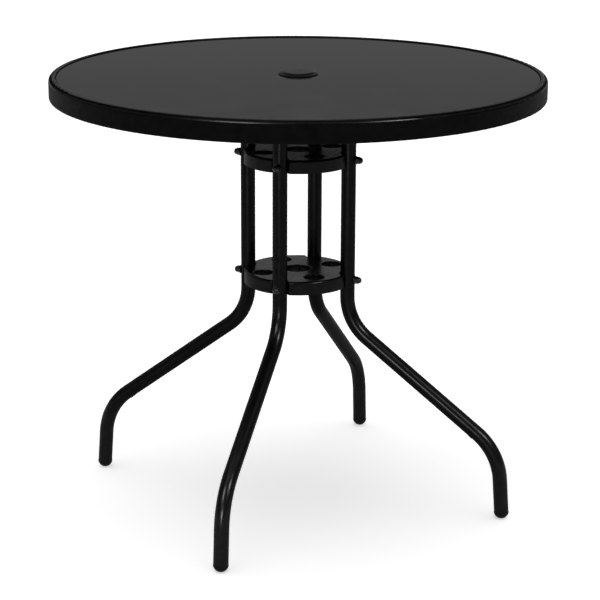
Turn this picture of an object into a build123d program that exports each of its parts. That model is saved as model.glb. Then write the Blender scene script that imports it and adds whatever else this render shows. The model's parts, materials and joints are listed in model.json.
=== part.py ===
from build123d import *
from math import acos, atan2, cos, radians, sin, tan
import os

# Round garden table: a glass top in a rolled steel rim, carried by four bent tubes.
# Two pressed steel discs tie the tubes together, and a parasol pole can pass down the middle.
# Millimetres. The origin is on the floor under the middle of the top, with Z up.

# Overall
table_height = 720.0  # floor to the crest of the rim's bead
top_diameter = 800.0

# Rim, rolled from one strip of sheet
rim_height = 35.0
rim_sheet = 1.5
rim_bead_width = 12.0
rim_shoulder_radius = 7.5  # the bead's outer rounding
rim_lip_radius = 2.0  # the bead's inner rounding, down to the glass
rim_bead_fill = 0.97  # the most of its room that a rounding of the bead may take
rim_ledge_width = 14.0
rim_ledge_radius = 1.5
rim_bottom_radius = 3.5
rim_return_width = 14.0

# Glass and what it lies on
glass_thickness = 5.0
glass_chamfer = 0.5
glass_edge_gap = 0.4  # between the glass and the rim's lip
bead_over_glass = 2.0  # how far the bead's crest stands above the glass
gasket_thickness = 1.5
gasket_edge_gap = 0.5
pad_diameter = 16.0

# Tube legs: each is one tube, from the foot up the middle column and out under the top
leg_angles = {"right": 0, "back": 90, "left": 180, "front": 270}
leg_diameter = 24.0
leg_wall = 1.2
leg_ring_radius = 87.0  # from the middle to the upright tubes
top_bend_radius = 55.0
upper_bend_height = 312.0  # where the upright and sloping centre lines cross
upper_bend_radius = 85.0
lower_bend_height = 114.0  # where the sloping and foot centre lines cross
lower_bend_reach = 350.0
lower_bend_radius = 105.0
foot_tilt = 4.2  # degrees that the foot leans out from upright

# Foot plugs
foot_diameter = 24.6
foot_collar = 2.0
foot_dome = 10.0
foot_flat_depth = 0.6  # how much of the dome is cut flat on the floor
foot_stem = 18.0
stem_gap = 0.1

# Joint between each arm and the rim
tab_thickness = 3.0
tab_width = 24.0
tab_corner = 6.0
tab_lip_gap = 4.0  # from the rim's lip in to the tab
tab_margin = 16.0  # from the arm's bolt to the tab's inner end
arm_seat_gap = 0.05
arm_end_gap = 2.0
arm_plug_flange = 2.0
arm_plug_stem = 12.0
arm_bolt_gap = 8.0  # from the plug's stem to the arm's bolt
arm_bolt_diameter = 6.0
arm_bolt_head_diameter = 11.5
arm_bolt_head_height = 3.4
arm_bolt_head_round = 2.7
arm_bolt_socket = 4.0
arm_bolt_socket_depth = 2.0

# Pressed discs
disc_height = 22.0
disc_sheet = 1.5
disc_edge_radius = 4.0
disc_overhang = 1.0  # from the tubes' centres out to the disc's edge
upper_disc_clearance = 45.2  # from the upper disc up to the start of the top bend
lower_disc_clearance = 17.9  # from the end of the upper bend up to the lower disc
notch_gap = 0.3
notch_corner = 5.0
hole_edge_radius = 1.4
pole_hole_diameter = 44.0
pole_collar_height = 16.0
light_hole_diameter = 33.0
light_collar_height = 14.0
light_hole_margin = 9.5  # from a lightening hole out to the disc's edge
light_hole_turn = 45.0  # degrees from a leg to the next lightening hole

# Bolts, washers and cap nuts that hold the discs to the tubes
bolt_diameter = 6.0
bolt_hole_gap = 0.3
bolt_head_flats = 10.0
bolt_head_height = 4.0
bolt_thread_in_nut = 6.0
washer_diameter = 14.0
washer_thickness = 1.2
nut_flats = 11.0
nut_hex_height = 5.4
nut_dome_height = 5.2
nut_dome_radius = 5.2
nut_dome_round = 4.4
nut_blind_gap = 2.0  # past the bolt's end
thread_gap = 0.05

# Parasol grommet and cap
grommet_bore = 42.0
grommet_wall = 2.5
grommet_overhang = 8.75  # from the sleeve out to the flange's edge
grommet_flange_thickness = 3.0  # under the cap
grommet_edge_thickness = 1.2
grommet_edge_round = 0.6
grommet_seat_margin = 0.8  # from the cap's edge out to the start of the flange's slope
grommet_below_glass = 13.0
grommet_glass_gap = 0.5
grommet_ridge = 0.9  # how far the snap ridge stands past the hole in the glass
grommet_ridge_height = 2.0
grommet_ridge_gap = 0.2
cap_overhang = 3.0  # from the bore out to the cap's edge
cap_thickness = 1.5
cap_edge = 0.6
cap_plug_depth = 8.0
cap_plug_wall = 2.0
cap_gap = 0.4

# Levels and radii of the top
rim_r = top_diameter / 2
rim_bottom_z = table_height - rim_height
lip_r = rim_r - rim_bead_width
ledge_inner_r = lip_r - rim_ledge_width
return_inner_r = rim_r - rim_return_width
glass_top_z = table_height - bead_over_glass
glass_bottom_z = glass_top_z - glass_thickness
glass_r = lip_r - glass_edge_gap
ledge_top_z = glass_bottom_z - gasket_thickness
ledge_bottom_z = ledge_top_z - rim_sheet
gasket_inner_r = ledge_inner_r + gasket_edge_gap
gasket_outer_r = lip_r - rim_ledge_radius - gasket_edge_gap
grommet_r = grommet_bore / 2
sleeve_r = grommet_r + grommet_wall
glass_hole_r = sleeve_r + grommet_glass_gap
flange_r = sleeve_r + grommet_overhang
flange_edge_z = glass_top_z + grommet_edge_thickness
flange_top_z = glass_top_z + grommet_flange_thickness
cap_r = grommet_r + cap_overhang

# Places along a leg, in its own upright plane
leg_r = leg_diameter / 2
leg_bore_r = leg_r - leg_wall
stem_r = leg_bore_r - stem_gap
tab_bottom_z = ledge_bottom_z - tab_thickness
arm_z = tab_bottom_z - arm_seat_gap - leg_r
arm_bottom_z = arm_z - leg_r
arm_end_r = return_inner_r - arm_end_gap - arm_plug_flange
arm_bolt_r = arm_end_r - arm_plug_stem - arm_bolt_gap
tab_inner_r = arm_bolt_r - tab_margin
tab_outer_r = lip_r - tab_lip_gap
pad_r = (leg_ring_radius + top_bend_radius + tab_inner_r) / 2
slope_angle = atan2(lower_bend_reach - leg_ring_radius, upper_bend_height - lower_bend_height)
foot_r = foot_diameter / 2
foot_sphere_r = (foot_r**2 + foot_dome**2) / (2 * foot_dome)
foot_sphere_rise = foot_sphere_r - foot_dome - foot_collar  # above the plug's seat, along the leg
foot_seat_z = foot_sphere_r - foot_flat_depth - foot_sphere_rise * cos(radians(foot_tilt))
foot_seat_r = lower_bend_reach + (lower_bend_height - foot_seat_z) * tan(radians(foot_tilt))

# Places of the discs and their bolts
disc_r = leg_ring_radius + disc_overhang
notch_r = leg_r + notch_gap
pole_r = pole_hole_diameter / 2
light_hole_r = light_hole_diameter / 2
light_hole_pitch_r = disc_r - light_hole_margin - light_hole_r
upper_disc_z = arm_z - top_bend_radius - upper_disc_clearance - disc_height
upper_bend_end_z = upper_bend_height + upper_bend_radius * tan(slope_angle / 2)
lower_disc_z = upper_bend_end_z + lower_disc_clearance
disc_levels = {"upper": upper_disc_z, "lower": lower_disc_z}
bolt_r = bolt_diameter / 2
bolt_hole_r = bolt_r + bolt_hole_gap
bolt_level = disc_height / 2
bolt_seat_r = leg_ring_radius - notch_r - disc_sheet
washer_seat_r = leg_ring_radius + leg_r
nut_seat_r = washer_seat_r + washer_thickness


def around(shape):
    """The shape at each of the four legs."""
    return [Rot(0, 0, angle) * shape for angle in leg_angles.values()]


def rod(radius, bottom, top):
    """An upright cylinder between two levels."""
    return Pos(0, 0, (bottom + top) / 2) * Cylinder(radius, top - bottom)


def ring(outer, inner, bottom, top):
    """An upright tube between two levels."""
    return rod(outer, bottom, top) - rod(inner, bottom, top)


def hexagon(flats, height):
    """A six-sided prism with a corner facing its own X."""
    return extrude(RegularPolygon(flats / 2, 6, major_radius=False), height)


def pointing_out(radius, level):
    """Turns a shape's own Z to point away from the middle, at a radius and a level."""
    return Pos(radius, 0, level) * Rot(0, 90, 0)


def turned(outline):
    """The solid that an outline of (radius, level) edges makes about the Z axis."""
    return revolve(Plane.XZ * make_face(outline), Axis.Z)


def rounded(shape, corners, radius):
    """The shape with its corners rounded, or sharp where the sheet leaves no radius."""
    return fillet(corners, radius) if radius > 0 else shape


def rim_skin(inset):
    """One side of the rim's strip in section, from the ledge over the bead to the bottom return."""
    lip_room = min(rim_bead_width / 2, table_height - ledge_top_z - rim_ledge_radius)
    lip = min(rim_lip_radius, rim_bead_fill * lip_room)
    shoulder = min(rim_shoulder_radius, rim_bead_fill * (rim_bead_width - lip))
    corners = [max(radius - inset, 0) for radius in (lip, shoulder, rim_bottom_radius)]
    return FilletPolyline(
        (ledge_inner_r, ledge_top_z - inset),
        (lip_r + inset, ledge_top_z - inset),
        (lip_r + inset, table_height - inset),
        (rim_r - inset, table_height - inset),
        (rim_r - inset, rim_bottom_z + inset),
        (return_inner_r, rim_bottom_z + inset),
        radius=[rim_ledge_radius + inset, *corners],
    )


def rim():
    outside = rim_skin(0)
    inside = rim_skin(rim_sheet)
    ends = [Line(outside @ 0, inside @ 0), Line(outside @ 1, inside @ 1)]
    return turned([*outside.edges(), *inside.edges(), *ends])


def rim_tab():
    """Flat steel tab welded under the ledge, with a threaded hole for the arm's bolt."""
    length = tab_outer_r - tab_inner_r
    plate = Pos(tab_inner_r + length / 2, 0) * RectangleRounded(length, tab_width, tab_corner)
    plate -= Pos(arm_bolt_r, 0) * Circle(arm_bolt_diameter / 2 + thread_gap)
    return Pos(0, 0, tab_bottom_z) * extrude(plate, tab_thickness)


def glass_top():
    pane = ring(glass_r, glass_hole_r, glass_bottom_z, glass_top_z)
    return chamfer(pane.edges().filter_by(GeomType.CIRCLE), glass_chamfer)


def glass_gasket():
    return ring(gasket_outer_r, gasket_inner_r, ledge_top_z, glass_bottom_z)


def leg_tube():
    """One bent tube, with holes for the two disc bolts and the arm's bolt."""
    path = FilletPolyline(
        (arm_end_r, 0, arm_z),
        (leg_ring_radius, 0, arm_z),
        (leg_ring_radius, 0, upper_bend_height),
        (lower_bend_reach, 0, lower_bend_height),
        (foot_seat_r, 0, foot_seat_z),
        radius=[top_bend_radius, upper_bend_radius, lower_bend_radius],
    )
    start = Plane(path @ 0, z_dir=path % 0)
    tube = sweep(start * Circle(leg_r), path) - sweep(start * Circle(leg_bore_r), path)
    disc_hole = rod(bolt_hole_r, -leg_diameter, leg_diameter)
    for level in disc_levels.values():
        tube -= pointing_out(leg_ring_radius, level + bolt_level) * disc_hole
    arm_hole = rod(arm_bolt_diameter / 2 + bolt_hole_gap, -leg_diameter, leg_diameter)
    return tube - Pos(arm_bolt_r, 0, arm_z) * arm_hole


def foot_plug():
    """Domed plug in the foot of a tube, with a small flat on the floor."""
    bottom = -foot_collar - foot_dome
    half_turn = acos(1 - foot_dome / foot_sphere_r) / 2
    middle = (foot_sphere_r * sin(half_turn), foot_sphere_rise - foot_sphere_r * cos(half_turn))
    edge = (foot_r, -foot_collar)
    stem = Polyline((0, bottom), (0, foot_stem), (stem_r, foot_stem), (stem_r, 0), (foot_r, 0), edge)
    dome = ThreePointArc(edge, middle, (0, bottom))
    plug = Pos(foot_seat_r, 0, foot_seat_z) * Rot(0, -foot_tilt, 0) * turned([*stem.edges(), dome])
    return plug - Pos(foot_seat_r, 0) * rod(foot_diameter, bottom, 0)


def arm_end_plug():
    """Flat plug in the rim end of an arm."""
    plug = rod(leg_r, 0, arm_plug_flange) + rod(stem_r, -arm_plug_stem, 0)
    return pointing_out(arm_end_r, arm_z) * plug


def arm_bolt():
    """Button head bolt, up through the arm into the tab."""
    head_z = arm_bottom_z - arm_bolt_head_height
    head = rod(arm_bolt_head_diameter / 2, head_z, arm_bottom_z)
    head = fillet(head.edges().group_by(Axis.Z)[0], arm_bolt_head_round)
    head -= Pos(0, 0, head_z) * hexagon(arm_bolt_socket, arm_bolt_socket_depth)
    return Pos(arm_bolt_r, 0) * (head + rod(arm_bolt_diameter / 2, arm_bottom_z, ledge_bottom_z))


def arm_pad():
    """Rubber pad between an arm and the glass, hollowed to sit on the tube."""
    pad = Pos(pad_r, 0) * rod(pad_diameter / 2, arm_z, glass_bottom_z)
    seat = rod(leg_r + arm_seat_gap, -pad_diameter, pad_diameter)
    return pad - pointing_out(pad_r, arm_z) * seat


def disc_outline(inset):
    """The disc seen from above, with a half-round notch at each tube."""
    outline = Circle(disc_r - inset)
    for notch in around(Pos(leg_ring_radius, 0) * Circle(notch_r + inset)):
        outline -= notch
    return rounded(outline, outline.vertices(), notch_corner - inset)


def disc_block(inset, height):
    """The disc as a solid block with a rounded top edge."""
    block = extrude(disc_outline(inset), height)
    return rounded(block, block.edges().group_by(Axis.Z)[-1], disc_edge_radius - inset)


def collared_hole(body, place, radius, collar_height):
    """The disc with a hole drawn down into a collar, and a rounded mouth."""
    collar_bottom = disc_height - collar_height
    body += place * rod(radius + disc_sheet, collar_bottom, disc_height)
    body -= place * rod(radius, collar_bottom, disc_height)
    mouth_centre = (place * Pos(0, 0, disc_height)).position
    mouth = body.edges().sort_by_distance(mouth_centre)[0]
    return fillet(mouth, hole_edge_radius)


def disc():
    """Pressed disc, open below, with collared holes for the pole and four for lightness."""
    body = disc_block(0, disc_height) - disc_block(disc_sheet, disc_height - disc_sheet)
    body = collared_hole(body, Pos(0, 0, 0), pole_r, pole_collar_height)
    for angle in leg_angles.values():
        place = Rot(0, 0, angle + light_hole_turn) * Pos(light_hole_pitch_r, 0)
        body = collared_hole(body, place, light_hole_r, light_collar_height)
    bolt_hole = rod(bolt_hole_r, -bolt_head_height, notch_r)
    for hole in around(pointing_out(bolt_seat_r, bolt_level) * bolt_hole):
        body -= hole
    return body


def disc_bolt():
    """Hex bolt, from inside the disc out through the tube."""
    head = Pos(0, 0, -bolt_head_height) * hexagon(bolt_head_flats, bolt_head_height)
    shank = rod(bolt_r, 0, nut_seat_r + bolt_thread_in_nut - bolt_seat_r)
    return pointing_out(bolt_seat_r, bolt_level) * (head + shank)


def washer():
    plain_washer = ring(washer_diameter / 2, bolt_hole_r, 0, washer_thickness)
    return pointing_out(washer_seat_r, bolt_level) * plain_washer


def cap_nut():
    """Hexagon nut closed by a dome."""
    dome = rod(nut_dome_radius, 0, nut_hex_height + nut_dome_height)
    dome = fillet(dome.edges().group_by(Axis.Z)[-1], nut_dome_round)
    nut = hexagon(nut_flats, nut_hex_height) + dome
    nut -= rod(bolt_r + thread_gap, 0, bolt_thread_in_nut + nut_blind_gap)
    return pointing_out(nut_seat_r, bolt_level) * nut


def parasol_grommet():
    """Plastic ring through the hole in the glass, with a sloping flange and a snap ridge below."""
    slope_height = flange_top_z - flange_edge_z
    slope = Cone(flange_r, cap_r + grommet_seat_margin, slope_height)
    flange = rod(flange_r, glass_top_z, flange_edge_z)
    flange += Pos(0, 0, flange_edge_z + slope_height / 2) * slope
    flange = fillet(flange.edges().sort_by_distance((flange_r, 0, flange_edge_z))[0], grommet_edge_round)
    sleeve_z = glass_bottom_z - grommet_below_glass
    ridge_z = glass_bottom_z - grommet_ridge_gap
    ridge = rod(glass_hole_r + grommet_ridge, ridge_z - grommet_ridge_height, ridge_z)
    ridge = chamfer(ridge.edges().group_by(Axis.Z)[0], grommet_ridge)
    solid = flange + rod(sleeve_r, sleeve_z, glass_top_z) + ridge
    return solid - rod(grommet_r, sleeve_z, flange_top_z)


def parasol_cap():
    """Lift-out cap: a flat head with a short plug that drops into the grommet."""
    head = rod(cap_r, flange_top_z, flange_top_z + cap_thickness)
    head = fillet(head.edges().group_by(Axis.Z)[-1], cap_edge)
    plug_r = grommet_r - cap_gap
    return head + ring(plug_r, plug_r - cap_plug_wall, flange_top_z - cap_plug_depth, flange_top_z)


def save(node, shapes):
    shape = shapes[0] if len(shapes) == 1 else Compound(children=shapes)
    export_step(shape, f"parts/{node}.step")


os.makedirs("parts", exist_ok=True)
save("glass_top", [glass_top()])
save("glass_gasket", [glass_gasket()])
save("rim", [rim()])
save("rim_tabs", around(rim_tab()))
save("parasol_grommet", [parasol_grommet()])
save("parasol_cap", [parasol_cap()])
for side, tube, plug in zip(leg_angles, around(leg_tube()), around(foot_plug())):
    save(f"leg_{side}", [tube])
    save(f"foot_{side}", [plug])
save("arm_end_plugs", around(arm_end_plug()))
save("arm_bolts", around(arm_bolt()))
save("arm_pads", around(arm_pad()))
for name, level in disc_levels.items():
    lift = Pos(0, 0, level)
    save(f"{name}_disc", [lift * disc()])
    save(f"{name}_disc_bolts", around(lift * disc_bolt()))
    save(f"{name}_washers", around(lift * washer()))
    save(f"{name}_cap_nuts", around(lift * cap_nut()))
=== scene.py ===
import json
from math import cos, pi, radians, sin, tan

import bmesh
import bpy
from mathutils import Matrix, Vector


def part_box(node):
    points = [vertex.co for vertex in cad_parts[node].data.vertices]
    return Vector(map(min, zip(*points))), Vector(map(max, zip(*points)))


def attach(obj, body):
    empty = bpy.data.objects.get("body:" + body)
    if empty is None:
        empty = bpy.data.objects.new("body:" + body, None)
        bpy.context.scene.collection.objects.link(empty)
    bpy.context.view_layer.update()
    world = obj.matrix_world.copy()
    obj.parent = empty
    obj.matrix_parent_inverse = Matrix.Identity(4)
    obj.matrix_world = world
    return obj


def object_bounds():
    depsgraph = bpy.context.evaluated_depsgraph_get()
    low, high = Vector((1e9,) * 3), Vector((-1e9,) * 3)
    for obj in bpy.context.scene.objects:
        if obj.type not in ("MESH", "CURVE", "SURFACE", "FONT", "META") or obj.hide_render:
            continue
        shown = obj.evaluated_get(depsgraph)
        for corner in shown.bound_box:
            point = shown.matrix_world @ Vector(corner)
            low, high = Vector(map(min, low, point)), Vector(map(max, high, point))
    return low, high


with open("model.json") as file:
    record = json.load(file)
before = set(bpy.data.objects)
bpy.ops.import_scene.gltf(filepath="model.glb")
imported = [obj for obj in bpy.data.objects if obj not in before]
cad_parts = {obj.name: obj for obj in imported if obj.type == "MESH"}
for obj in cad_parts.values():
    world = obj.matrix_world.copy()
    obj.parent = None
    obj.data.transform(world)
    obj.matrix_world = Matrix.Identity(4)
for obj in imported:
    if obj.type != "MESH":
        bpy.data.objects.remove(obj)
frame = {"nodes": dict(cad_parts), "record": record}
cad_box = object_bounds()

# Finishes, studio and camera for the round garden table. Metres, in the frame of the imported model.

# Camera, fitted to the outline of the rim and to the four feet
camera_place = (1.0471, -3.0238, 1.2684)
camera_turn = 19.0237  # degrees about Z
camera_dip = 16.19  # degrees below level
camera_roll = 0.22  # degrees
camera_lens = 120.25  # millimetres
camera_sensor = 36.0  # millimetres

# Marks that the bender left inside the lower bend of each leg
leg_angles = (0, 90, 180, 270)  # degrees about Z
tube_radius = 0.012
slope_top = Vector((0.087, 0.0, 0.312))  # where the right leg's centre lines cross
slope_foot = Vector((0.35, 0.0, 0.114))
lower_bend_radius = 0.105
foot_tilt = 4.2  # degrees that the foot leans out from upright
mark_height = 0.0009
mark_half_angle = 80  # degrees round the tube
mark_steps = 24  # round the tube
mark_sink = 0.0006  # how far the mark's back lies in the tube's wall
mark_edge_sink = 0.00012  # how far its edges lie in the wall
mark_profile = [  # place along the slope from the start of the bend, share of the height
    (-0.018, 0.0),
    (-0.013, 0.15),
    (-0.008, 0.55),
    (-0.004, 0.92),
    (-0.0015, 1.0),
    (0.0, 0.75),
    (0.0015, 0.2),
    (0.003, 0.0),
]

# Welds between the rim's ledge and the tabs under it
ledge_bottom = 0.71
weld_start = 0.3745  # from the middle
tab_end = 0.384
tab_half_width = 0.012
tab_corner = 0.006
weld_radius = 0.0017
weld_end_radius = weld_radius / 2
weld_drop = weld_radius / 2  # how far the weld's middle lies below the ledge
weld_ripple = 0.00025
ripple_rings = 4  # from one ripple to the next
weld_rings = 27
weld_sides = 12

# Noise that varies the finishes
noise_detail = 2.0
noise_range = (0.3, 0.7)  # nearly all of the noise lies in here
underside_range = (-0.5, 0.0)  # upward part of the normal, from a full underside to none

# Powder coat. Noise: its size, then the lowest and the highest value.
coat_tone = (0.02, 0.0004, 0.0009)
coat_base_roughness = (0.006, 0.4, 0.55)  # of the colour below the clear layer
coat_unevenness = (0.01, 0.85, 1.15)  # of the clear layer's weight
coat_texture = [  # size and depth
    (0.012, 0.00004),  # waves
    (0.0016, 0.00002),  # orange peel
    (0.0004, 0.000004),  # grain
]
coat_roughness = 0.26
coat_ior = 1.5
coat_weights = [(0.0, 0.1), (0.4, 0.2), (0.75, 0.24), (0.97, 0.72)]  # upward part of the normal, weight
disc_coat_weights = [(0.0, 0.15), (0.4, 0.2), (0.75, 0.24), (0.97, 0.75)]
leg_foot_gloss = 1.9  # how much heavier the legs' clear layer is below the lower bend
leg_foot_top = 0.066
leg_bend_top = 0.143
rim_rounding = 0.0075  # radius of the rim's outer edge, where height tells how level the surface lies
rim_coat_ior = 1.42  # a duller film, which mirrors less of the floor in the rim's wall
rim_coat_weights = [  # share of the way up the rounding, weight
    (0.0, 0.085),
    (0.2, 0.1),
    (0.4, 0.32),
    (0.5, 0.29),
    (0.7, 0.05),
    (0.87, 0.05),
    (0.97, 0.6),
]

# Plain finishes. Tone and roughness: size of the noise, lowest and highest value. Grain: size and depth.
plain_finishes = {
    "black_glass": {
        "specular": 0.5,
        "tone": (0.12, 0.002, 0.003),
        "roughness": (0.08, 0.05, 0.09),
        "underside": 0.5,  # least roughness of faces turned down
        "grain": (0.15, 0.00002),
    },
    "black_zinc": {
        "specular": 0.2,
        "tone": (0.004, 0.003, 0.007),
        "roughness": (0.002, 0.2, 0.35),
        "grain": (0.0006, 0.00001),
    },
    "moulded_plastic": {
        "specular": 0.14,
        "tone": (0.01, 0.003, 0.005),
        "roughness": (0.003, 0.3, 0.42),
        "grain": (0.0005, 0.00002),
    },
    "smooth_moulding": {
        "specular": 0.03,
        "tone": (0.01, 0.0005, 0.001),
        "roughness": (0.003, 0.3, 0.36),
        "grain": (0.0005, 0.00002),
    },
    "foot_moulding": {
        "specular": 0.06,
        "tone": (0.006, 0.002, 0.004),
        "roughness": (0.002, 0.5, 0.65),
        "grain": (0.0006, 0.00003),
    },
    "soft_rubber": {
        "specular": 0.1,
        "tone": (0.008, 0.004, 0.008),
        "roughness": (0.002, 0.7, 0.85),
        "grain": (0.0008, 0.00005),
    },
}

# Studio
floor_profile = [  # distance from the middle, height: level, and far off curving up into a backdrop
    (26.0, 0.0),
    (27.5, 0.06),
    (28.8, 0.28),
    (29.6, 0.75),
    (30.0, 1.4),
]
floor_sides = 96
floor_colour = (0.95, 0.95, 0.95, 1.0)
floor_lift = 0.53  # added where the floor is seen or mirrored, so that it is white there
white = (1.0, 1.0, 1.0, 1.0)
dome_ramp = [  # sine of the height above the horizon, brightness
    (0.0, 0.21),
    (0.15, 0.165),
    (0.195, 0.14),
    (0.27, 0.5),
    (0.5, 0.4),
    (0.8, 0.3),
    (0.87, 1.0),
    (0.93, 2.4),
    (1.0, 1.6),
]
lamp_target = (0.0, 0.0, 0.45)
lamps = {  # name: place, width, height, brightness, what it lights
    "lamp_left": ((-0.3, -2.2, 1.9), 0.75, 0.75, 24.0, "table"),
    "lamp_low": ((0.33, -2.4, 0.5), 0.3, 0.3, 105.0, "legs"),
    "lamp_right": ((4.3, -1.8, 3.85), 1.3, 0.85, 65.0, "table"),
}


def set_stops(ramp, stops):
    """Sets a colour ramp's greys from (position, level) pairs."""
    elements = ramp.color_ramp.elements
    while len(elements) < len(stops):
        elements.new(1.0)
    for element, (position, level) in zip(elements, stops):
        element.position = position
        element.color = (level, level, level, 1.0)


class Finish:
    """One material's node tree. Lengths in metres, on the object's own coordinates."""

    def __init__(self, name, specular_level):
        self.material = bpy.data.materials.new(name)
        self.material.use_nodes = True
        self.tree = self.material.node_tree
        self.shader = self.tree.nodes["Principled BSDF"]
        self.shader.inputs["Specular IOR Level"].default_value = specular_level
        coordinates = self.add("ShaderNodeTexCoord")
        self.place = coordinates.outputs["Object"]
        self.facing = coordinates.outputs["Normal"]

    def add(self, kind):
        return self.tree.nodes.new(kind)

    def link(self, output, target):
        self.tree.links.new(output, target)

    def upward(self, vector):
        """The upward part of a place or of a normal."""
        parts = self.add("ShaderNodeSeparateXYZ")
        self.link(vector, parts.inputs["Vector"])
        return parts.outputs["Z"]

    def stretch(self, value, old_range, new_range):
        """One range of values mapped onto another, and held at its ends."""
        node = self.add("ShaderNodeMapRange")
        node.inputs["From Min"].default_value = old_range[0]
        node.inputs["From Max"].default_value = old_range[1]
        node.inputs["To Min"].default_value = new_range[0]
        node.inputs["To Max"].default_value = new_range[1]
        self.link(value, node.inputs["Value"])
        return node.outputs["Result"]

    def combine(self, operation, first, second):
        """The greater or the product of two values."""
        node = self.add("ShaderNodeMath")
        node.operation = operation
        self.link(first, node.inputs[0])
        self.link(second, node.inputs[1])
        return node.outputs[0]

    def noise(self, size):
        """Soft noise with features of about this size."""
        node = self.add("ShaderNodeTexNoise")
        node.inputs["Scale"].default_value = 1.0 / size
        node.inputs["Detail"].default_value = noise_detail
        self.link(self.place, node.inputs["Vector"])
        return node.outputs["Fac"]

    def spread(self, size, low, high):
        """Noise spread from a low value to a high one."""
        return self.stretch(self.noise(size), noise_range, (low, high))

    def tone(self, size, low, high):
        """Grey that varies from a low level to a high one."""
        ramp = self.add("ShaderNodeValToRGB")
        set_stops(ramp, [(noise_range[0], low), (noise_range[1], high)])
        self.link(self.noise(size), ramp.inputs["Fac"])
        self.link(ramp.outputs["Color"], self.shader.inputs["Base Color"])

    def roughness(self, size, low, high, underside=0.0):
        """Roughness over a range, and at least the underside's where the surface faces down."""
        below = self.stretch(self.upward(self.facing), underside_range, (underside, 0.0))
        rough = self.combine("MAXIMUM", self.spread(size, low, high), below)
        self.link(rough, self.shader.inputs["Roughness"])

    def coat(self, level, weights, factors, ior):
        """Clear layer whose weight goes by how level the surface lies, times each factor."""
        ramp = self.add("ShaderNodeValToRGB")
        set_stops(ramp, weights)
        self.link(level, ramp.inputs["Fac"])
        weight = ramp.outputs["Color"]
        for factor in factors:
            weight = self.combine("MULTIPLY", weight, factor)
        self.link(weight, self.shader.inputs["Coat Weight"])
        self.shader.inputs["Coat Roughness"].default_value = coat_roughness
        self.shader.inputs["Coat IOR"].default_value = ior

    def bump(self, texture):
        """Bump from (size, depth) pairs, one over another."""
        normal = None
        for size, depth in texture:
            node = self.add("ShaderNodeBump")
            node.inputs["Distance"].default_value = depth
            self.link(self.noise(size), node.inputs["Height"])
            if normal:
                self.link(normal, node.inputs["Normal"])
            normal = node.outputs["Normal"]
        self.link(normal, self.shader.inputs["Normal"])
        self.link(normal, self.shader.inputs["Coat Normal"])


def powder_coat(name, ior, weights, foot_gloss=1.0, rounding=None):
    """Black film whose gloss goes by how level a face lies, or by the height within a rounded edge."""
    finish = Finish(name, 0.0)
    finish.tone(*coat_tone)
    finish.roughness(*coat_base_roughness)
    height = finish.upward(finish.place)
    level = finish.upward(finish.facing)
    if rounding:
        level = finish.stretch(height, rounding, (0.0, 1.0))
    uneven = finish.spread(*coat_unevenness)
    near_floor = finish.stretch(height, (leg_foot_top, leg_bend_top), (foot_gloss, 1.0))
    finish.coat(level, weights, [uneven, near_floor], ior)
    finish.bump(coat_texture)
    return finish.material


def plain_finish(name):
    """One of the finishes without a clear layer."""
    values = plain_finishes[name]
    finish = Finish(name, values["specular"])
    finish.tone(*values["tone"])
    finish.roughness(*values["roughness"], underside=values.get("underside", 0.0))
    finish.bump([values["grain"]])
    return finish.material


def dress(slot_finishes, node_finishes):
    """Gives each node the finish of its material slot, or its own."""
    for row in frame["record"]["subparts"]:
        node = frame["nodes"][row["node"]]
        finish = node_finishes.get(row["node"], slot_finishes[row["material_slot"]])
        for slot in node.material_slots:
            slot.material = finish


def add_skin(mesh, rings):
    """Joins rings of points into a skin that is closed at the first ring."""
    rows = [[mesh.verts.new(point) for point in ring] for ring in rings]
    count = len(rows[0])
    for row, after in zip(rows, rows[1:]):
        for i in range(count):
            j = (i + 1) % count
            mesh.faces.new((row[i], row[j], after[j], after[i]))
    mesh.faces.new(rows[0])
    return rows


def add_loft(mesh, rings):
    """Joins rings of points into a skin that is closed at both ends."""
    rows = add_skin(mesh, rings)
    mesh.faces.new(rows[-1])


def add_object(name, mesh, material):
    """Puts a smooth mesh into the scene."""
    bmesh.ops.recalc_face_normals(mesh, faces=mesh.faces)
    for face in mesh.faces:
        face.smooth = True
    data = bpy.data.meshes.new(name)
    mesh.to_mesh(data)
    mesh.free()
    data.materials.append(material)
    piece = bpy.data.objects.new(name, data)
    bpy.context.collection.objects.link(piece)
    return piece


def add_piece(name, lofts, material):
    """A painted piece of the frame, made of the same lofts at each leg."""
    mesh = bmesh.new()
    for angle in leg_angles:
        turn = Matrix.Rotation(radians(angle), 3, "Z")
        for rings in lofts:
            add_loft(mesh, [[turn @ point for point in ring] for ring in rings])
    piece = add_object(name, mesh, material)
    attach(piece, "table")
    return piece


def bend_mark():
    """Rings of the low swelling where the slope meets the lower bend, on the inside."""
    slope = (slope_foot - slope_top).normalized()
    foot = Vector((sin(radians(foot_tilt)), 0.0, -cos(radians(foot_tilt))))
    start = slope_foot - slope * (lower_bend_radius * tan(slope.angle(foot) / 2))
    inward = (foot - slope * foot.dot(slope)).normalized()
    side = slope.cross(inward)
    places = [2 * i / mark_steps - 1 for i in range(mark_steps + 1)]  # round the tube, from edge to edge
    rings = []
    for along, share in mark_profile:
        middle = start + slope * along
        outer = []
        inner = []
        for place in places:
            angle = radians(mark_half_angle) * place
            out = inward * cos(angle) + side * sin(angle)
            height = mark_height * share * cos(pi / 2 * place) ** 2 - mark_edge_sink
            outer.append(middle + out * (tube_radius + height))
            inner.append(middle + out * (tube_radius - mark_sink))
        rings.append(outer + inner[::-1])
    return rings


def weld_ring(middle, out, radius):
    """Points of one upright ring of a weld."""
    up = Vector((0.0, 0.0, 1.0))
    angles = [2 * pi * i / weld_sides for i in range(weld_sides)]
    return [middle + (out * cos(a) + up * sin(a)) * radius for a in angles]


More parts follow.
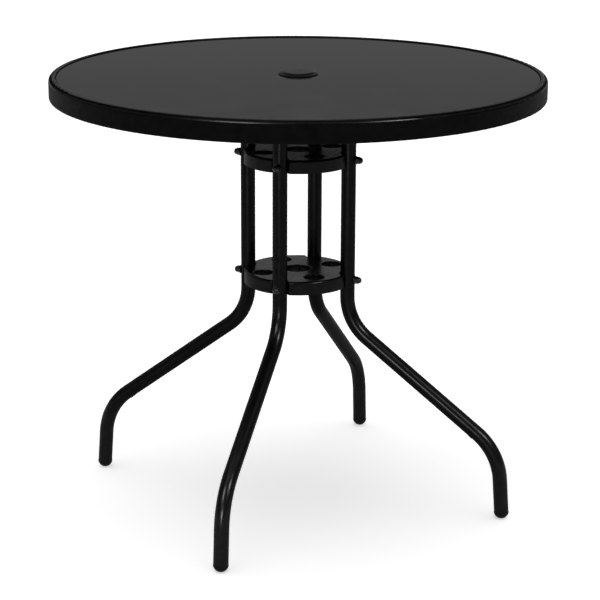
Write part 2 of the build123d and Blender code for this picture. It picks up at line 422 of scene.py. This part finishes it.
def tab_weld(hand):
    """Rings of the rippled bead along one side of a tab and round its outer corner."""
    straight = tab_end - tab_corner - weld_start
    length = straight + tab_corner * pi / 2
    corner_width = hand * (tab_half_width - tab_corner)
    corner = Vector((tab_end - tab_corner, corner_width, ledge_bottom - weld_drop))
    rings = []
    for i in range(weld_rings):
        along = length * i / (weld_rings - 1)
        angle = max(along - straight, 0.0) / tab_corner
        ahead = Vector((cos(angle), -hand * sin(angle), 0.0))
        out = Vector((sin(angle), hand * cos(angle), 0.0))
        middle = corner + out * tab_corner + ahead * min(along - straight, 0.0)
        radius = weld_radius + weld_ripple * sin(2 * pi * i / ripple_rings)
        if i in (0, weld_rings - 1):
            radius = weld_end_radius
        rings.append(weld_ring(middle, out, radius))
    return rings


def floor_white():
    """White that shows the table's shadow."""
    finish = Finish("studio_floor", 0.0)
    inputs = finish.shader.inputs
    inputs["Base Color"].default_value = floor_colour
    inputs["Roughness"].default_value = 1.0
    inputs["Emission Color"].default_value = white
    ray = finish.add("ShaderNodeLightPath")
    seen = ray.outputs["Is Camera Ray"]
    for kind in ("Is Glossy Ray", "Is Transmission Ray"):
        seen = finish.combine("MAXIMUM", seen, ray.outputs[kind])
    lift = finish.add("ShaderNodeMath")
    lift.operation = "MULTIPLY"
    lift.inputs[1].default_value = floor_lift
    finish.link(seen, lift.inputs[0])
    finish.link(lift.outputs[0], inputs["Emission Strength"])
    return finish.material


def studio_floor():
    """Level floor with its far edge curved up, so that low views see white behind the table too."""
    level = cad_box[0][2]
    angles = [2 * pi * i / floor_sides for i in range(floor_sides)]
    mesh = bmesh.new()
    add_skin(mesh, [[(r * cos(a), r * sin(a), level + z) for a in angles] for r, z in floor_profile])
    add_object("studio_floor", mesh, floor_white())


def studio_dome():
    """Soft light from all round, which changes with the height above the horizon."""
    world = bpy.data.worlds.new("studio_dome")
    world.use_nodes = True
    tree = world.node_tree
    direction = tree.nodes.new("ShaderNodeTexCoord")
    parts = tree.nodes.new("ShaderNodeSeparateXYZ")
    ramp = tree.nodes.new("ShaderNodeValToRGB")
    tree.links.new(direction.outputs["Generated"], parts.inputs["Vector"])
    tree.links.new(parts.outputs["Z"], ramp.inputs["Fac"])
    tree.links.new(ramp.outputs["Color"], tree.nodes["Background"].inputs["Color"])
    set_stops(ramp, dome_ramp)
    bpy.context.scene.world = world


def lamp_receivers(name, pieces):
    """The pieces that a lamp lights, so that it gives them highlights and the floor no second shadow."""
    receivers = bpy.data.collections.new(name)
    for piece in pieces:
        receivers.objects.link(piece)
    return receivers


def studio_lamp(name, place, width, height, brightness, receivers):
    """A rectangular lamp that faces the table and isn't seen by the camera."""
    light = bpy.data.lights.new(name, "AREA")
    light.shape = "RECTANGLE"
    light.size = width
    light.size_y = height
    light.energy = brightness * pi * width * height
    lamp = bpy.data.objects.new(name, light)
    lamp.location = place
    lamp.rotation_euler = (Vector(place) - Vector(lamp_target)).to_track_quat("Z", "Y").to_euler()
    lamp.visible_camera = False
    lamp.light_linking.receiver_collection = receivers
    bpy.context.collection.objects.link(lamp)


def studio_camera():
    """The photo's camera."""
    data = bpy.data.cameras.new("camera")
    data.lens = camera_lens
    data.sensor_width = camera_sensor
    camera = bpy.data.objects.new("camera", data)
    turn = Matrix.Rotation(radians(camera_turn), 4, "Z")
    dip = Matrix.Rotation(radians(90 - camera_dip), 4, "X")
    roll = Matrix.Rotation(radians(camera_roll), 4, "Z")
    camera.matrix_world = Matrix.Translation(camera_place) @ turn @ dip @ roll
    bpy.context.collection.objects.link(camera)
    bpy.context.scene.camera = camera


frame_paint = powder_coat("powder_coat", coat_ior, coat_weights, leg_foot_gloss)
rim_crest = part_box("rim")[1][2]
rim_edge = (rim_crest - rim_rounding, rim_crest)
rim_paint = powder_coat("rim_coat", rim_coat_ior, rim_coat_weights, rounding=rim_edge)
disc_paint = powder_coat("disc_coat", coat_ior, disc_coat_weights)
dress(
    {
        "glass": plain_finish("black_glass"),
        "frame_steel": frame_paint,
        "fasteners": plain_finish("black_zinc"),
        "black_plastic": plain_finish("moulded_plastic"),
        "foot_plastic": plain_finish("foot_moulding"),
        "rubber": plain_finish("soft_rubber"),
    },
    {
        "parasol_grommet": plain_finish("smooth_moulding"),
        "rim": rim_paint,
        "upper_disc": disc_paint,
        "lower_disc": disc_paint,
    },
)
marks = add_piece("bend_marks", [bend_mark()], frame_paint)
welds = add_piece("tab_welds", [tab_weld(1), tab_weld(-1)], frame_paint)
studio_floor()
studio_dome()
nodes = frame["nodes"]
receivers = {
    "table": lamp_receivers("lit_table", [*nodes.values(), marks, welds]),
    "legs": lamp_receivers("lit_legs", [nodes[name] for name in nodes if name.startswith("leg_")]),
}
for lamp_name, (*lamp_sizes, lit) in lamps.items():
    studio_lamp(lamp_name, *lamp_sizes, receivers[lit])
studio_camera()
bpy.context.scene.view_settings.view_transform = "Standard"
